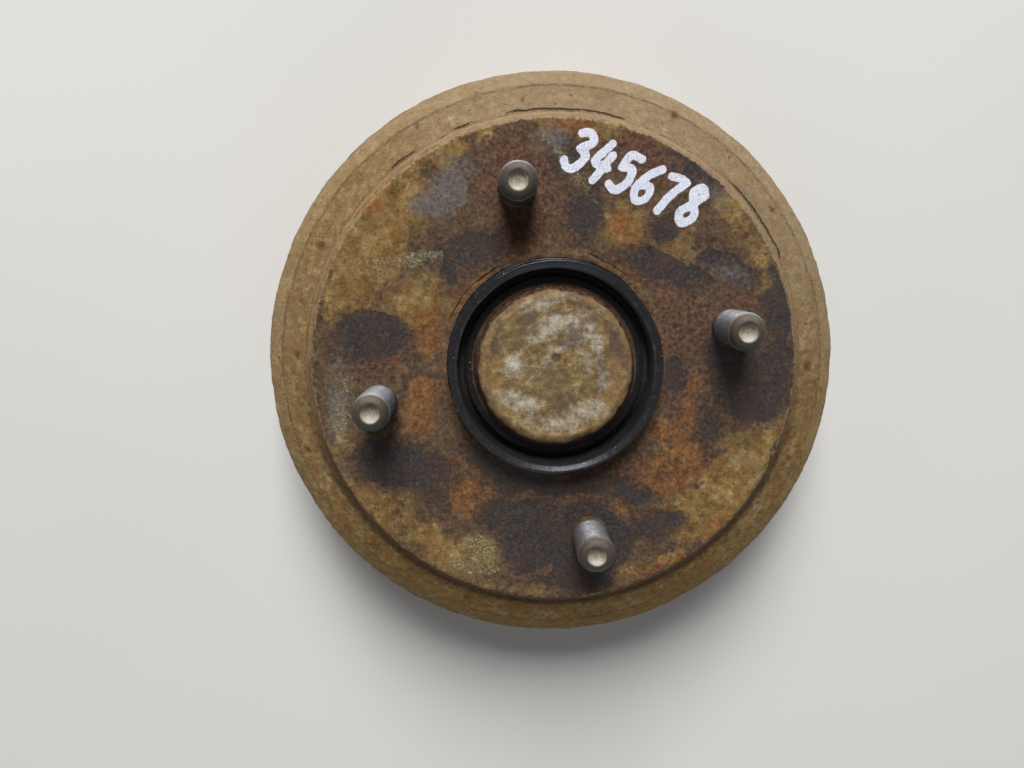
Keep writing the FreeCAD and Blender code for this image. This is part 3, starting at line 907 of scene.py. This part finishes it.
class Finish(Tree):
    """A material with its Principled shader, and the calls that build it."""

    def __init__(self, name):
        self.material = bpy.data.materials.new(name)
        self.material.use_nodes = True
        super().__init__(self.material.node_tree)
        self.shader = self.tree.nodes["Principled BSDF"]

    def surface(self, **inputs):
        self.put_all(self.shader, inputs)

    def bump(self, height, distance):
        """Fine relief: a height from 0 to 1 that stands this many millimetres high."""
        made = self.node("ShaderNodeBump", Height=height, Strength=1.0, Distance=distance * MM)
        self.put(self.shader, "Normal", self.out(made))


# Materials

# How ragged, how crisp and how soft the edge of each patch is, and the shift of its noise
PATCH_EDGES = {
    "ochre": (9.0, 0.6, 3.2, 3.0),
    "orange": (7.0, 0.4, 2.8, 17.0),
    "red": (8.0, 0.8, 3.4, 23.0),
    "dark": (6.0, 0.7, 3.0, 31.0),
    "grey": (5.0, 1.4, 3.0, 47.0),
    "pale": (4.5, 0.5, 2.4, 59.0),
    "paint": (0.35, 0.12, 0.05, 71.0),
}


class RustedFace(Finish):
    """Wheel side of the drum: patches of scale, rust and paint on the face, crust outside it."""

    def __init__(self):
        super().__init__("rusted_face")
        self.grain = self.group("RustGrain")
        self.small = self.group("RustGrain", Size=0.55)
        self.radius = self.field("radius")
        self.wavy_radius = self.radius + self.centred(self.grain["Broad"])
        # lower is 1 on the -Y side and upper on the +Y side; along them the wheel side gets painted
        # shade and painted light.
        self.lower = self.field("lower")
        self.upper = 1.0 - self.lower
        face_edge = self.field("on_face") + self.centred(self.grain["Middle"]) * 0.6
        self.on_face = self.step(face_edge, 0.35, 0.65)
        self.crack = self.crack_mask()
        mottle = self.grain["Middle"] * 0.5 + self.small["Middle"] * 0.5
        self.brown = self.ramp(mottle, [
            (0.34, 60, 48, 41), (0.46, 84, 68, 55), (0.56, 104, 84, 64), (0.70, 132, 108, 80)])
        self.orange = self.ramp(mottle, [
            (0.34, 78, 52, 38), (0.46, 118, 78, 48), (0.56, 144, 98, 58), (0.70, 170, 128, 84)])
        self.masks = {name: self.patch(self.field(name), *edge) for name, edge in PATCH_EDGES.items()}
        flakes = self.grain["Middle"] * 0.65 + self.grain["Fine"] * 0.35
        self.masks["pale"] *= self.step(flakes, 0.40, 0.62, 0.46, 0.86)
        self.brush = self.streaks((2.2, 0.35, 1), turn=0.5, detail=3.0, rough=0.55)
        self.masks["paint"] *= self.step(self.brush, 0.26, 0.36, 0.6, 1.0)

        paint = self.ramp(self.brush, [(0.36, 206, 211, 230), (0.56, 233, 237, 250)])
        layers = [(self.on_face, self.face_patches()), *self.lines(), *self.specks(),
                  (self.masks["paint"], paint)]
        self.surface(Base_Color=self.layered(self.crust(), layers), Roughness=self.roughness(),
                     Specular_IOR_Level=0.12)
        self.bump(self.relief(), 0.45)

    def crack_mask(self):
        """Where the crust has cracked, along the bevel and round the spigot ring."""
        broken = self.step(self.small["Broad"], 0.34, 0.44)
        bevel_crack = self.line(self.wavy_radius, CRACK_R + 0.1, 0.08, 0.28)
        bevel_crack *= self.field("crack") * broken
        near_collar = self.field("collar") + self.centred(self.small["Middle"]) * 0.15
        collar_crack = self.line(near_collar, 0.3, 0.06, 0.12) * (self.field("collar_crack") * broken)
        return self.math("MAXIMUM", bevel_crack, collar_crack)

    def crusty(self, stops):
        """Rust crust along these stops, with warm and cool drifts and dark specks in it."""
        grain = self.grain
        tone = grain["Middle"] * 0.65 + grain["Fine"] * 0.35 + self.centred(grain["Broad"]) * 0.20
        warm = self.clouds((40, 0, 0), 0.19, 0.47, 0.64, detail=5.0, rough=0.62)
        cool = self.clouds((0, 70, 0), 0.22, 0.52, 0.70)
        return self.layered(self.ramp(tone, stops), [
            (warm * 0.55, (134, 90, 54)),
            (cool * 0.42, (142, 132, 104)),
            (self.step(self.small["Middle"], 0.40, 0.30) * 0.30, (84, 60, 36))])

    def face_patches(self):
        """The colours of the wheel face, laid over one another."""
        fine_mottle = self.small["Middle"]
        ochre = self.crusty([
            (0.32, 88, 67, 40), (0.43, 118, 93, 53), (0.51, 138, 112, 66), (0.60, 158, 133, 86),
            (0.72, 184, 166, 122)])
        red = self.ramp(fine_mottle, [
            (0.32, 60, 46, 42), (0.46, 87, 64, 54), (0.58, 108, 78, 62), (0.74, 134, 104, 84)])
        dark = self.ramp(fine_mottle, [
            (0.30, 35, 36, 40), (0.48, 49, 48, 52), (0.62, 62, 56, 56), (0.78, 90, 76, 66)])
        umber = self.clouds((0, 0, 60), 0.14, 0.43, 0.65)
        dark = self.mix(umber * 0.62, dark, (68, 52, 42))
        plum = self.ramp(fine_mottle, [(0.32, 56, 44, 42), (0.50, 78, 61, 55), (0.70, 104, 82, 68)])
        grey = self.ramp(fine_mottle, [
            (0.30, 86, 80, 78), (0.50, 104, 99, 97), (0.68, 125, 120, 113), (0.80, 146, 134, 116)])
        pale = self.ramp(self.grain["Fine"], [
            (0.34, 94, 84, 60), (0.48, 118, 108, 80), (0.58, 142, 134, 106), (0.72, 186, 182, 162)])
        halo = self.patch(self.field("dark") + 1.6, 7.0, 1.2, 2.6, 37.0)
        collar = self.field("collar") + self.centred(self.small["Middle"]) * 0.4
        masks = self.masks
        return self.layered(self.brown, [
            (masks["red"] * 0.9, red),
            (masks["ochre"] * 0.92, ochre),
            (masks["orange"] * 0.70, self.orange),
            (halo * 0.6, plum),
            (masks["dark"] * 0.88, dark),
            (masks["grey"] * 0.78, grey),
            (self.step(collar, 0.3, 0.7) * 0.32, self.mix(0.65, self.orange, self.brown)),
            (masks["pale"], pale)])

    def crust(self):
        """The crust outside the wheel face: dusty on the shoulder, streaked on the wall, with painted
        light on its upper side and painted shade on its lower side.
        """
        crust = self.crusty([
            (0.32, 92, 70, 44), (0.43, 122, 97, 61), (0.51, 142, 117, 77), (0.60, 162, 139, 98),
            (0.72, 190, 174, 140)])
        wavy_corner = self.radius + self.centred(self.grain["Middle"])
        dusty = self.step(wavy_corner, SHOULDER_R - 0.8, SHOULDER_R + 0.4)
        gold = self.clouds((0, 0, 90), 0.30, 0.48, 0.64)
        umber = self.clouds((25, 0, 90), 0.42, 0.52, 0.66, detail=5.0, rough=0.65)
        crust = self.layered(crust, [
            # Dust on the corner band, painted lighter on its upper side as painted light.
            (dusty * 0.35, self.mix(self.upper, (150, 131, 94), (182, 162, 126))),
            (gold * 0.42, (152, 112, 54)),
            (umber * 0.5, (98, 76, 54))])
        runs = self.step(self.streaks((0.11, 0.11, 0.04), detail=6.0, rough=0.66), 0.40, 0.60)
        blush = self.clouds((0, 0, 33), 0.07, 0.50, 0.62, detail=6.0, rough=0.66)
        wall = self.layered(crust, [(runs * 0.75, self.brown), (blush * 0.6, self.orange)])
        # Painted shade: the crust is darkened towards the bottom, the side turned away from the light.
        lower_shade = self.field("bottom") + self.centred(self.grain["Broad"]) * 0.5
        return self.layered(crust, [
            (self.step(self.field("depth"), 12.0, 22.0), wall),
            # Painted light: the crust is lightened on its upper side.
            (self.upper * 0.22, (140, 122, 94)),
            (self.field("faded") * 0.34, (152, 138, 120)),
            (self.step(lower_shade, 0.1, 1.1) * 0.30, (84, 60, 22))])

    def lines(self):
        """Rings where the surface bends: painted shade on the lower bevel, in the crease at its foot
        and at the corner band, and painted highlights on the edges.
        """
        # worn is only noise that breaks the painted shade line at the corner band and the painted
        # highlight at the ring's foot into pieces.
        worn = self.step(self.grain["Middle"], 0.44, 0.54)
        # Painted shade: the bevel is darkened on its lower side, and a thin dark line is painted in the
        # crease at its foot.
        lower_bevel_shade = self.line(self.radius, BEVEL_R - 0.3, 1.2, 2.2) * self.lower
        bevel_crease_shade = self.line(self.wavy_radius, BEVEL_R + 0.3, 0.1, 0.4)
        bevel_crease_shade *= self.step(self.grain["Middle"], 0.46, 0.56)
        # Painted highlight: a pale line along the edge of the wheel face.
        face_edge = self.line(self.radius, FACE_R + 0.2, 0.15, 0.5)
        face_edge *= self.step(self.small["Middle"], 0.40, 0.58)
        # Painted highlight: the bevel is lightened on its upper side.
        upper_bevel_highlight = self.line(self.wavy_radius, BEVEL_R - 0.5, 0.1, 0.7) * self.upper
        # Painted shade: a broken dark line where the shoulder meets the corner band.
        corner = self.line(self.wavy_radius, SHOULDER_R - 0.8, 0.1, 0.6) * worn
        # Painted highlight: a broken pale line round the foot of the spigot ring.
        ring_foot_highlight = self.line(self.radius, SPIGOT_R + 0.5, 0.15, 0.4) * worn
        return [
            (self.math("MAXIMUM", lower_bevel_shade * 0.72, bevel_crease_shade * 0.5), (50, 36, 28)),
            (face_edge * 0.5, (182, 152, 124)),
            (upper_bevel_highlight * 0.30, (172, 140, 112)),
            (corner * 0.55, (78, 58, 40)),
            (ring_foot_highlight * 0.6, (164, 128, 92))]

    def specks(self):
        """Pale and dark specks, small blots, pits and cracks."""
        blots = self.step(self.cells(0.21, (9, 0, 0)), 0.20, 0.10)
        blots *= self.step(self.grain["Middle"], 0.45, 0.60)
        return [
            (self.step(self.small["Fine"], 0.58, 0.70) * 0.18, (184, 166, 134)),
            (self.step(self.small["Fine"], 0.42, 0.30) * 0.24, (48, 36, 27)),
            (blots * 0.65, (70, 46, 32)),
            (self.field("pits") * 0.7, (62, 46, 34)),
            (self.crack * 0.78, (36, 26, 18))]

    def roughness(self):
        masks = self.masks
        return (0.90 - masks["dark"] * 0.25 - masks["grey"] * 0.15 - masks["pale"] * 0.40
                - masks["paint"] * 0.35)

    def relief(self):
        """Height of the grain, calmer on the dark scale, with flakes, cracks and brush strokes."""
        masks = self.masks
        height = self.grain["Middle"] * 0.5 + self.grain["Fine"] * 0.40
        height = height * (1.0 - masks["dark"] * 0.6) + masks["dark"] * -0.12 + masks["pale"] * 0.6
        height += ((1.0 - self.on_face) * self.small["Middle"]) * 0.6
        return height + self.crack * -1.4 + masks["paint"] * 0.30


def make_greasy_iron():
    """Spigot ring, groove and collar: iron black with old grease and a little dust, with painted light
    on the shaded groove walls.
    """
    build = Finish("greasy_iron")
    grain = build.group("RustGrain", Size=0.5)
    mottle = grain["Middle"]
    soot = build.ramp(mottle, [(0.40, 27, 27, 27), (0.60, 34, 33, 33), (0.76, 52, 48, 44)])
    # Painted light: the groove walls are lighter than the black iron, lightest on the shaded upper side
    # and darkened as painted shade on the lit lower side.
    channel_painted_light = build.ramp(mottle, [(0.40, 70, 68, 66), (0.60, 86, 82, 79), (0.76, 104, 96, 88)])
    channel_painted_light = build.mix(build.field("lower"), channel_painted_light, (40, 38, 38))
    radius = build.field("radius")
    black = build.mix(build.step(radius, NECK_R - 0.3, NECK_R + 0.2), soot, channel_painted_light)
    wavy = radius + build.centred(grain["Broad"]) * 0.7
    lip_edge = (CHANNEL_R - 0.2, CHANNEL_R + 0.9)
    lip = build.step(wavy, *lip_edge)
    lip_colour = build.ramp(mottle, [(0.36, 13, 12, 12), (0.55, 22, 20, 20), (0.72, 50, 42, 36)])
    dust = build.step(build.cells(0.42), 0.085, 0.05) * build.step(grain["Broad"], 0.46, 0.52)
    build.surface(
        Base_Color=build.layered(black, [(lip, lip_colour), (dust, (170, 170, 166))]),
        Roughness=build.step(lip, 0.0, 1.0, 0.25, 0.0) + build.step(mottle, 0.3, 0.7, 0.22, 0.34),
        Specular_IOR_Level=build.step(radius, *lip_edge, 0.08, 0.24),
        Specular_Tint=(0.80, 0.86, 1.0, 1))
    build.bump(grain["Fine"], 0.03)
    return build.material


def make_inner_iron():
    """Underside of web and hub: brown rust film under brake dust."""
    build = Finish("inner_iron")
    grain = build.group("RustGrain", Size=0.8)
    film = build.ramp(grain["Middle"], [
        (0.30, 48, 36, 28), (0.48, 86, 62, 44), (0.62, 112, 82, 56), (0.78, 136, 112, 84)])
    dust = build.step(grain["Broad"], 0.42, 0.62)
    build.surface(Base_Color=build.mix(dust * 0.6, film, (66, 58, 52)), Roughness=0.9)
    build.bump(grain["Fine"], 0.35)
    return build.material


def make_friction_iron():
    """Friction bore: ground iron scored by the shoes, with a film of rust."""
    build = Finish("friction_iron")
    grain = build.group("RustGrain")
    scoring = build.streaks((0, 0, 1), scale=2.6, detail=5.0, rough=0.75)
    iron = build.ramp(scoring, [(0.30, 66, 56, 48), (0.48, 112, 100, 90), (0.66, 150, 142, 132)])
    film = build.step(grain["Broad"], 0.46, 0.64)
    build.surface(
        Base_Color=build.mix(film * 0.75, iron, (122, 78, 46)),
        Metallic=0.8 - film * 0.75,
        Roughness=film * 0.4 + 0.42)
    build.bump(scoring, 0.12)
    return build.material


def make_worn_stud():
    """Worn thread and a dull nose with painted highlight on the upper side and painted shade on the
    lower side, and old dust in the dished end with painted light and shade across its bowl.
    """
    build = Finish("worn_stud")
    grain = build.group("RustGrain", Size=0.5)
    height = build.field("height")
    mottle = build.centred(grain["Middle"]) * 0.22
    # Painted highlight and shade: the bare steel and the nose are lighter on the stud's +Y side and
    # darker on its -Y side.
    upper = build.field("upper") + mottle
    steel = build.ramp(upper, [
        (0.05, 54, 52, 49), (0.5, 66, 67, 70), (0.76, 94, 96, 102), (0.97, 162, 165, 172)])
    rust = build.ramp(grain["Fine"], [(0.32, 56, 40, 30), (0.50, 88, 62, 42), (0.68, 124, 92, 62)])
    rusty = build.step(height + build.centred(grain["Broad"]) * 3.5, 3.0, 0.4)
    rusty = build.math("MAXIMUM", rusty, build.field("groove") * 0.35)
    nose = build.step(height + mottle * 4.0, NOSE_HEIGHT - 1.4, NOSE_HEIGHT + 1.2)
    dull_nose_lit_and_shaded = build.ramp(upper, [
        (0.05, 37, 34, 26), (0.5, 54, 48, 38), (0.8, 70, 62, 51), (0.98, 96, 85, 74)])
    # Old dust in the dished end, painted lighter on the bowl's -Y half and darker on its +Y half as
    # painted light and shade.
    old_dust_and_bowl_light = build.ramp(build.field("bowl") + build.centred(grain["Fine"]) * 0.45, [
        (0.12, 78, 72, 60), (0.42, 126, 119, 102), (0.72, 172, 165, 150), (0.95, 206, 201, 190)])
    bare = (1.0 - rusty) * (1.0 - nose)
    build.surface(
        Base_Color=build.layered(steel, [
            # The stud nearest -Y is drawn darker all over.
            (build.field("tarnish") * 0.55, (68, 64, 64)), (rusty, rust), (nose * 0.94, dull_nose_lit_and_shaded),
            (build.field("dish"), old_dust_and_bowl_light)]),
        Metallic=bare * 0.5,
        Roughness=build.step(bare, 0.0, 1.0, 0.60, 0.36),
        Specular_IOR_Level=0.3)
    build.bump(grain["Fine"], 0.08)
    return build.material


def make_stained_cap():
    """Plated cap gone dull: ochre and olive film, pale zinc clouds and a dark, rusty side whose colour
    reaches up over the rounded edge as painted shade.
    """
    build = Finish("stained_cap")
    grain = build.group("RustGrain", Size=1.0)
    small = build.group("RustGrain", Size=0.55)
    mottle, fine_mottle = grain["Middle"], small["Middle"]
    height = build.field("height")

    def stain(name, share, shift):
        return build.patch(build.field(name), 5.0, 0.8, 1.8, shift) * share

    strokes = build.streaks((0.28, 1.0, 1), turn=-0.45, scale=0.7)
    tone = mottle * 0.5 + small["Fine"] * 0.3 + strokes * 0.2
    film = build.ramp(tone, [
        (0.34, 80, 64, 46), (0.44, 110, 90, 60), (0.51, 134, 111, 72), (0.58, 156, 138, 96),
        (0.70, 188, 178, 146)])
    zinc = build.ramp(tone, [(0.38, 126, 116, 99), (0.48, 164, 156, 138), (0.60, 204, 199, 185)])
    drifts = build.clouds((11, 4, 0), 0.13, 0.54, 0.68, detail=5.0, distortion=0.6) * 0.4
    wavy_radius = build.field("radius") + build.centred(mottle) * 3.0
    edge = build.step(wavy_radius, CAP_TOP_R - 2.4, CAP_TOP_R + 0.1)
    side = build.ramp(fine_mottle, [(0.32, 44, 32, 27), (0.50, 80, 58, 47), (0.66, 116, 88, 68)])
    seat = build.step(height, 0.9, 0.3) * build.step(grain["Broad"], 0.40, 0.50)
    colour = build.layered(film, [
        (build.clouds((50, 20, 0), 0.17, 0.48, 0.66) * 0.4, (118, 86, 62)),
        (stain("amber", 0.4, 13.0), (142, 108, 66)),
        (stain("olive", 0.62, 29.0), (100, 84, 58)),
        (build.step(fine_mottle, 0.46, 0.36) * 0.45, (76, 58, 40)),
        (build.math("MAXIMUM", drifts, stain("cloud", 0.8, 3.0)), zinc),
        (stain("plum", 0.8, 41.0), (84, 68, 61)),
        (build.field("dimple") * 0.75, (66, 54, 46)),
        (edge * 0.35, (134, 106, 78)),
        # The rusty side, its dark colour carried up over the rounded edge as painted shade.
        (build.step(height + build.centred(fine_mottle) * 0.5, 6.4, 5.3), side),
        (seat * 0.6, (118, 104, 92))])
    build.surface(Base_Color=colour, Roughness=build.step(fine_mottle, 0.3, 0.7, 0.50, 0.80),
                  Specular_IOR_Level=0.2)
    build.bump(mottle + small["Fine"] * 0.5, 0.25)
    return build.material


def make_ground_steel(name, tone, rough, film=0.35):
    """Ground bearing steel with faint turning marks and a film of old grease."""
    build = Finish(name)
    grain = build.group("RustGrain", Size=0.6)
    marks = build.streaks((0.15, 0.15, 3.0), rough=0.7)
    steel = build.ramp(marks, [
        (0.35, tone - 20, tone - 20, tone - 20), (0.65, tone + 26, tone + 25, tone + 22)])
    grease = build.step(grain["Broad"], 0.48, 0.66) * film
    build.surface(
        Base_Color=build.mix(grease, steel, (92, 66, 34)),
        Metallic=1.0 - grease,
        Roughness=build.step(grain["Middle"], 0.3, 0.7, rough, rough + 0.14))
    build.bump(marks, 0.02)
    return build.material


def make_dull_finish(name, stops, rough, height):
    """A dull moulded or coated surface whose colour varies softly along these stops."""
    build = Finish(name)
    grain = build.group("RustGrain", Size=0.6)
    tone = grain["Middle"] * 0.6 + grain["Fine"] * 0.4
    build.surface(Base_Color=build.ramp(tone, stops),
                  Roughness=build.step(grain["Broad"], 0.35, 0.65, rough, rough + 0.2))
    build.bump(grain["Fine"], height)
    return build.material


def finish_bearing():
    """Materials for the CAD nodes of the bearing and its circlip."""
    rings = make_ground_steel("ring_steel", 150, 0.24)
    finishes = {
        "bearing_circlip": make_dull_finish("circlip_phosphate", [
            (0.35, 30, 29, 28), (0.52, 50, 46, 43), (0.70, 98, 68, 44)], 0.45, 0.08),
        "bearing_outer_ring": rings,
        "inner_ring": rings,
        "seal": make_dull_finish("seal_rubber", [
            (0.35, 20, 20, 21), (0.52, 34, 33, 33), (0.70, 70, 60, 50)], 0.55, 0.08),
        "cage": make_dull_finish("cage_nylon", [
            (0.35, 120, 84, 40), (0.52, 158, 118, 62), (0.68, 184, 148, 90)], 0.38, 0.05),
        "ball": make_ground_steel("ball_steel", 176, 0.10, film=0.15),
    }
    for node, piece in frame["nodes"].items():
        for start, material in finishes.items():
            if node.startswith(start):
                for material_slot in piece.material_slots:
                    material_slot.material = material


# Floor, lights and camera

CAMERA_SPOT = Vector((-17.8, 30.0, FACE_Z + 285.2)) * MM
CAMERA_LOOK = Vector((0.015, -0.125, -0.992))
CAMERA_NEAR = 0.01
FOCAL_PIXELS = 900
IMAGE_WIDTH = 1024
SENSOR_WIDTH = 36.0

FLOOR_REACH = 3000
# Metres from here on. Both lights aim at the middle of the drum.
LIGHT_AIM = Vector((0, 0, 0.05))
# The key lies this far from straight above, towards +Y, as the rim's shading in the photograph has it
KEY_ANGLE = math.radians(46)
KEY_DISTANCE = 2.6
KEY_SPOT = Vector((-0.1, math.sin(KEY_ANGLE) * KEY_DISTANCE, math.cos(KEY_ANGLE) * KEY_DISTANCE))
KEY_SIZE = (1.0, 1.5)
KEY_POWER = 80.0
KEY_COLOUR = (1.0, 0.985, 0.96)
BOUNCE_SPOT = Vector((0.1, -1.5, 0.45))
BOUNCE_SIZE = (1.2, 1.2)
BOUNCE_POWER = 4.6
BOUNCE_COLOUR = (0.96, 0.98, 1.0)
ROOM_COLOUR = (0.92, 0.96, 1.0, 1)
ROOM_STRENGTH = 0.08


def build_floor():
    build = Finish("pale_floor")
    shade = build.noise(build.spot(), 0.004, detail=2.0)
    build.surface(Base_Color=build.ramp(shade, [(0.3, 222, 222, 220), (0.7, 228, 227, 225)]),
                  Roughness=0.75)
    mesh = bmesh.new()
    bmesh.ops.create_grid(mesh, x_segments=2, y_segments=2, size=FLOOR_REACH)
    floor = linked("floor", mesh, [build.material])


def build_light(name, spot, size, power, colour):
    """A soft panel. Its width is level and its length leans with the aim."""
    data = bpy.data.lights.new(name, "AREA")
    data.shape = "RECTANGLE"
    data.size, data.size_y = size
    data.energy = power
    data.color = colour
    lamp = bpy.data.objects.new(name, data)
    lamp.location = spot
    lamp.rotation_mode = "QUATERNION"
    lamp.rotation_quaternion = (LIGHT_AIM - spot).to_track_quat("-Z", "Y")
    bpy.context.scene.collection.objects.link(lamp)


def build_world():
    """Dim, even light, and a white background that polished metal shows too."""
    world = bpy.data.worlds.new("soft_room")
    world.use_nodes = True
    build = Tree(world.node_tree)
    dim = world.node_tree.nodes["Background"]
    build.put_all(dim, {"Color": ROOM_COLOUR, "Strength": ROOM_STRENGTH})
    white = build.node("ShaderNodeBackground", Color=(1, 1, 1, 1), Strength=1.0)
    path = build.outs(build.node("ShaderNodeLightPath"))
    shown = build.math("MAXIMUM", path["Is Camera Ray"], path["Is Glossy Ray"])
    shown = build.math("MAXIMUM", shown, path["Is Transmission Ray"])
    seen = build.node("ShaderNodeMixShader", Fac=shown)
    build.put(seen, 1, build.out(dim))
    build.put(seen, 2, build.out(white))
    build.put(world.node_tree.nodes["World Output"], "Surface", build.out(seen))
    bpy.context.scene.world = world


def build_camera():
    data = bpy.data.cameras.new("camera")
    data.sensor_width = SENSOR_WIDTH
    data.lens = FOCAL_PIXELS / IMAGE_WIDTH * SENSOR_WIDTH
    data.clip_start = CAMERA_NEAR
    camera = bpy.data.objects.new("camera", data)
    camera.location = CAMERA_SPOT
    camera.rotation_mode = "QUATERNION"
    right = CAMERA_LOOK.cross(Vector((0, 1, 0))).normalized()
    up = right.cross(CAMERA_LOOK).normalized()
    axes = Matrix((right, up, -CAMERA_LOOK.normalized())).transposed()
    camera.rotation_quaternion = axes.to_quaternion()
    bpy.context.scene.collection.objects.link(camera)
    bpy.context.scene.camera = camera


make_patch_group()
make_grain_group()
build_casting([RustedFace().material, make_greasy_iron(), make_inner_iron(), make_friction_iron()])
build_studs(make_worn_stud())
build_cap(make_stained_cap())
finish_bearing()
build_floor()
build_world()
build_light("key", KEY_SPOT, KEY_SIZE, KEY_POWER, KEY_COLOUR)
build_light("bounce", BOUNCE_SPOT, BOUNCE_SIZE, BOUNCE_POWER, BOUNCE_COLOUR)
build_camera()
bpy.context.scene.view_settings.view_transform = "Standard"
